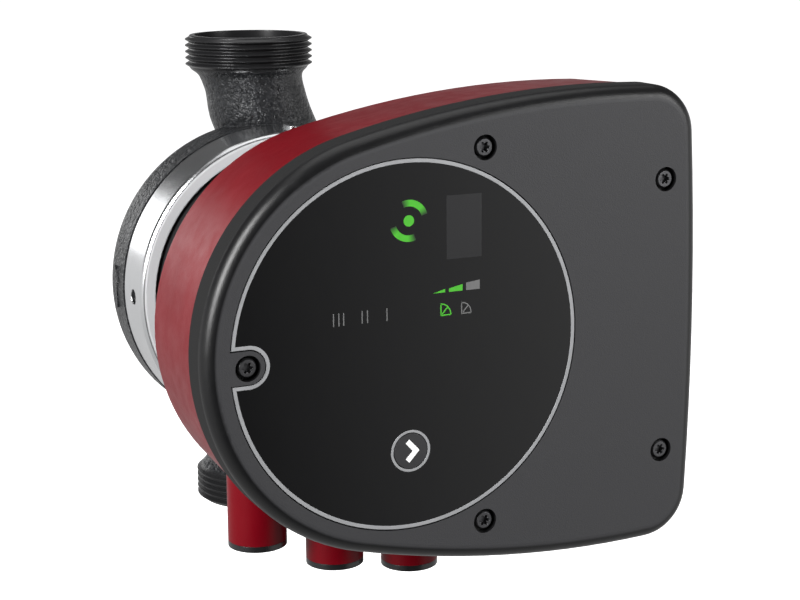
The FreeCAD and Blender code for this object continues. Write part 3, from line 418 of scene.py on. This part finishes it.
STATUS_CENTRE = (-0.5 * MM, 40.5 * MM)  # across and up
DOT_RADIUS, DOT_CORNERS = 1.8 * MM, 24
SWIRL_INNER, SWIRL_OUTER = 4.6 * MM, 6.7 * MM
SWIRL_START, SWIRL_END, SWIRL_FADE = 16, 112, 26    # degrees

BARS_BASE = 16.4 * MM
LIT_BARS = ((8.0, 12.1, 0.05, 1.1), (13.5, 18.3, 1.1, 2.1))     # left, right, height at each, mm
UNLIT_BARS = ((19.6, 24.5, 2.4, 3.0),)

LIT_ICON = {"corner": (10.4 * MM, 9.0 * MM), "size": 3.7 * MM, "width": 0.42 * MM}
UNLIT_ICON = {"corner": (17.8 * MM, 8.9 * MM), "size": 3.6 * MM, "width": 0.36 * MM}
ICON_LINE = ((0.18, 0.12), (0.68, 0.66))            # the slanting line's ends, as shares of the size

SPEED_MARKS = (-26.5, -24.7, -23.1, -16.8, -15.0, -8.3)         # three, two and one stroke, mm
SPEED_LOW, SPEED_HIGH, SPEED_WIDTH = 9.2 * MM, 13.3 * MM, 0.34 * MM

PANE_LEFT, PANE_RIGHT = 12.7 * MM, 25.2 * MM
PANE_LOW, PANE_HIGH = 27 * MM, 47.5 * MM

LIT_GREEN = srgb(72, 178, 42)
# the green legends are lit; the grey ones stand for unlit marks, and their small glow is painted light
GREEN_GLOW, GREY_PAINTED_GLOW = 0.14, 0.04


def flat_piece(name, outlines, look, body="pump_head", lift=PRINT_LIFT,
               thick=PRINT_THICK):
    """Closed (x, up) outlines in metres, made into thin plates on the front of the window."""
    mesh = bpy.data.meshes.new(name)
    made = bmesh.new()
    back = window_front - lift
    for outline in outlines:
        rear, front = (
            [made.verts.new((x + PRINT_SHIFT, depth, up + SHAFT.z)) for x, up in outline]
            for depth in (back, back - thick)
        )
        made.faces.new(rear)
        made.faces.new(front[::-1])
        for index, corner in enumerate(rear):
            following = (index + 1) % len(rear)
            made.faces.new((corner, front[index], front[following], rear[following]))
    bmesh.ops.recalc_face_normals(made, faces=made.faces)
    made.to_mesh(mesh)
    made.free()
    piece = bpy.data.objects.new(name, mesh)
    bpy.context.scene.collection.objects.link(piece)
    mesh.materials.append(look)
    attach(piece, body)


def arc_points(centre, radius, start, end, steps):
    """Points on an arc about an (x, up) centre, angles in degrees."""
    for step in range(steps + 1):
        angle = math.radians(start + (end - start) * step / steps)
        yield (centre[0] + radius * math.cos(angle), centre[1] + radius * math.sin(angle))


def bar(start, end, width):
    """A straight stroke between two points."""
    start, end = Vector(start), Vector(end)
    way = (end - start).normalized() * width / 2
    side = Vector((-way.y, way.x))
    return [tuple(start - side), tuple(end - side), tuple(end + side), tuple(start + side)]


def crescent(centre, inner, outer, start, end):
    """A curved stroke between two radii."""
    return (list(arc_points(centre, inner, start, end, ARC_STEPS))
            + list(arc_points(centre, outer, start, end, ARC_STEPS))[::-1])


def quadrant_icon(corner, size, width):
    """The outlined quarter circle that stands for a control mode, with its slanting line."""
    x, up = corner
    half = width / 2
    line = [(x + across * size, up + rise * size) for across, rise in ICON_LINE]
    return [
        bar((x, up), (x + size, up), width),
        bar((x + half, up), (x + half, up + size), width),
        crescent((x, up), size - half, size + half, 0, 90),
        bar(*line, width),
    ]


def fading_legend(name, colour, glow):
    """A lit legend whose two opposite arcs die away towards their ends."""
    look = Finish(name, colour, roughness=0.4)
    place = look.split()
    aside = look.maths("SUBTRACT", place["X"], STATUS_CENTRE[0] + PRINT_SHIFT)
    above = look.maths("SUBTRACT", place["Z"], STATUS_CENTRE[1] + SHAFT.z)
    angle = look.maths("FLOORED_MODULO", look.maths("ARCTAN2", above, aside), math.pi)
    start, end, run = (math.radians(turn) for turn in (SWIRL_START, SWIRL_END, SWIRL_FADE))
    rising = look.spread(angle, start, start + run, 0.0, 1.0)
    falling = look.spread(angle, end, end - run, 0.0, 1.0)
    look.colour = look.blend(look.maths("MULTIPLY", rising, falling), srgb(20, 22, 20), colour)
    look.tree.links.new(look.colour, look.shader.inputs["Emission Color"])
    look.mottle(size=1.5 * MM, amount=0.05)
    look.uneven(size=1 * MM, amount=0.05)
    return look.done(emission_strength=glow)


def status_light(green, fading):
    """The round running light with a swirl of two fading arcs."""
    dot = arc_points(STATUS_CENTRE, DOT_RADIUS, 0, 360 - 360 / DOT_CORNERS, DOT_CORNERS - 1)
    flat_piece("status_dot", [list(dot)], green)
    flat_piece("status_swirl", [
        crescent(STATUS_CENTRE, SWIRL_INNER, SWIRL_OUTER, SWIRL_START + turn, SWIRL_END + turn)
        for turn in (0, 180)
    ], fading)


def level_bars(green, grey):
    """Three rising power bars, two lit and one not."""
    def wedges(rows):
        return [[(left * MM, BARS_BASE), (right * MM, BARS_BASE),
                 (right * MM, BARS_BASE + high * MM), (left * MM, BARS_BASE + low * MM)]
                for left, right, low, high in rows]

    flat_piece("level_bars_lit", wedges(LIT_BARS), green)
    flat_piece("level_bars_unlit", wedges(UNLIT_BARS), grey)


def mode_marks(green, grey):
    """Control-mode icons, and the speed marks of three strokes, two and one."""
    flat_piece("mode_icon_lit", quadrant_icon(**LIT_ICON), green)
    flat_piece("mode_icon_unlit", quadrant_icon(**UNLIT_ICON), grey)
    strokes = [bar((x * MM, SPEED_LOW), (x * MM, SPEED_HIGH), SPEED_WIDTH) for x in SPEED_MARKS]
    flat_piece("speed_marks", strokes, grey)


def display_panel(look):
    """The slightly lighter pane in front of the unlit number display."""
    outline = [(PANE_LEFT, PANE_LOW), (PANE_RIGHT, PANE_LOW), (PANE_RIGHT, PANE_HIGH),
               (PANE_LEFT, PANE_HIGH)]
    flat_piece("display_panel", [outline], look, lift=PANE_LIFT,
               thick=PANE_THICK)


def window_graphics():
    """Every mark on the window."""
    green = printed("legend_green", LIT_GREEN, GREEN_GLOW)
    # painted glow: the unlit grey legends are given a faint glow of their own
    grey = printed("legend_grey", srgb(112, 112, 112), GREY_PAINTED_GLOW)
    pane = printed("display_pane", srgb(24, 24, 26))
    status_light(green, fading_legend("legend_swirl", LIT_GREEN, GREEN_GLOW))
    level_bars(green, grey)
    mode_marks(green, grey)
    display_panel(pane)


# ---- studio

AIM = (0.02, -0.05, 0.09)               # where every light points: the middle of the pump
FLOOR_REACH, FLOOR_LEVEL = 40.0, -0.1

SOFTBOXES = (                           # name, place, width and height, watts
    ("key_left", (-1.03, -0.54, 0.63), (0.42, 1.0), 27),
    ("back_left", (-0.45, 1.3, 0.3), (0.7, 0.35), 1.5),
    ("overhead", (0.1, 0.1, 1.3), (1.1, 1.1), 4.5),
    ("front_right", (1.0, -1.1, 0.55), (0.7, 0.9), 11),
)

CAMERA_PLACE = (-0.23771, -0.64856, 0.22903)
CAMERA_YAW, CAMERA_PITCH, CAMERA_ROLL = 0.4427, 0.1862, -0.0062     # radians
LENS, SHIFT_X, SHIFT_Y = 81.7, -0.0208, -0.0718


def softbox(name, place, size, power):
    """A rectangular soft light, aimed at the pump."""
    lamp = bpy.data.lights.new(name, "AREA")
    lamp.shape = "RECTANGLE"
    lamp.size, lamp.size_y = size
    lamp.energy = power
    held = bpy.data.objects.new(name, lamp)
    held.location = place
    held.rotation_euler = (Vector(AIM) - Vector(place)).to_track_quat("-Z", "Y").to_euler()
    bpy.context.scene.collection.objects.link(held)


def floor():
    """A wide pale floor under the pump, which lets the light from below through."""
    mesh = bpy.data.meshes.new("studio_floor")
    made = bmesh.new()
    made.faces.new([made.verts.new((x * FLOOR_REACH, y * FLOOR_REACH, FLOOR_LEVEL))
                    for x, y in ((-1, -1), (1, -1), (1, 1), (-1, 1))])
    made.to_mesh(mesh)
    made.free()
    ground = bpy.data.objects.new("studio_floor", mesh)
    bpy.context.scene.collection.objects.link(ground)
    look = Finish("pale_floor", srgb(244, 244, 244), roughness=0.9)
    look.mottle(size=400 * MM, amount=0.01)
    look.grain(size=4 * MM, height=0.05 * MM)
    mesh.materials.append(look.done(emission_color=WHITE, emission_strength=1.0))
    ground.visible_glossy = False
    ground.visible_diffuse = False
    ground.visible_shadow = False


def sky():
    """A soft surround: pale at the horizon and below, dim overhead. In front, where the window
    looks, it is dark to the left and bright to the right. The camera sees it plain white."""
    world = bpy.data.worlds.new("studio")
    world.use_nodes = True
    bpy.context.scene.world = world
    tree = world.node_tree

    def ramp(value, low, high, out_low, out_high):
        made = tree.nodes.new("ShaderNodeMapRange")
        for key, number in (("From Min", low), ("From Max", high), ("To Min", out_low),
                            ("To Max", out_high)):
            made.inputs[key].default_value = number
        tree.links.new(value, made.inputs["Value"])
        return made.outputs["Result"]

    def maths(operation, first, second):
        made = tree.nodes.new("ShaderNodeMath")
        made.operation = operation
        for index, value in enumerate((first, second)):
            if isinstance(value, bpy.types.NodeSocket):
                tree.links.new(value, made.inputs[index])
            else:
                made.inputs[index].default_value = value
        return made.outputs[0]

    towards = tree.nodes.new("ShaderNodeSeparateXYZ")
    tree.links.new(tree.nodes.new("ShaderNodeTexCoord").outputs["Generated"], towards.inputs[0])
    above = ramp(towards.outputs["Z"], low=0.0, high=0.28, out_low=0.74, out_high=0.1)
    below = ramp(towards.outputs["Z"], low=-0.6, high=0.0, out_low=0.7, out_high=1.0)
    front = ramp(towards.outputs["Y"], low=-0.25, high=-0.7, out_low=0.0, out_high=1.0)
    darkening = ramp(towards.outputs["X"], low=0.3, high=0.58, out_low=0.92, out_high=-0.5)
    dimming = maths("SUBTRACT", 1.0, maths("MULTIPLY", front, darkening))
    glow = maths("MULTIPLY", maths("MULTIPLY", above, below), dimming)
    camera_ray = tree.nodes.new("ShaderNodeLightPath").outputs["Is Camera Ray"]
    background = tree.nodes["Background"]
    background.inputs["Color"].default_value = WHITE
    tree.links.new(maths("MAXIMUM", glow, camera_ray), background.inputs["Strength"])


def camera():
    """A long lens at the front left, a little above the pump."""
    made = bpy.data.cameras.new("view")
    made.lens = LENS
    made.shift_x, made.shift_y = SHIFT_X, SHIFT_Y
    held = bpy.data.objects.new("view", made)
    turn = (Matrix.Rotation(-CAMERA_YAW, 4, "Z")
            @ Matrix.Rotation(math.pi / 2 - CAMERA_PITCH, 4, "X")
            @ Matrix.Rotation(CAMERA_ROLL, 4, "Z"))
    held.matrix_world = Matrix.Translation(CAMERA_PLACE) @ turn
    bpy.context.scene.collection.objects.link(held)
    bpy.context.scene.camera = held


# ---- making

dress_frame(finishes())
window_graphics()
floor()
sky()
for settings in SOFTBOXES:
    softbox(*settings)
camera()
bpy.context.scene.view_settings.view_transform = "Standard"
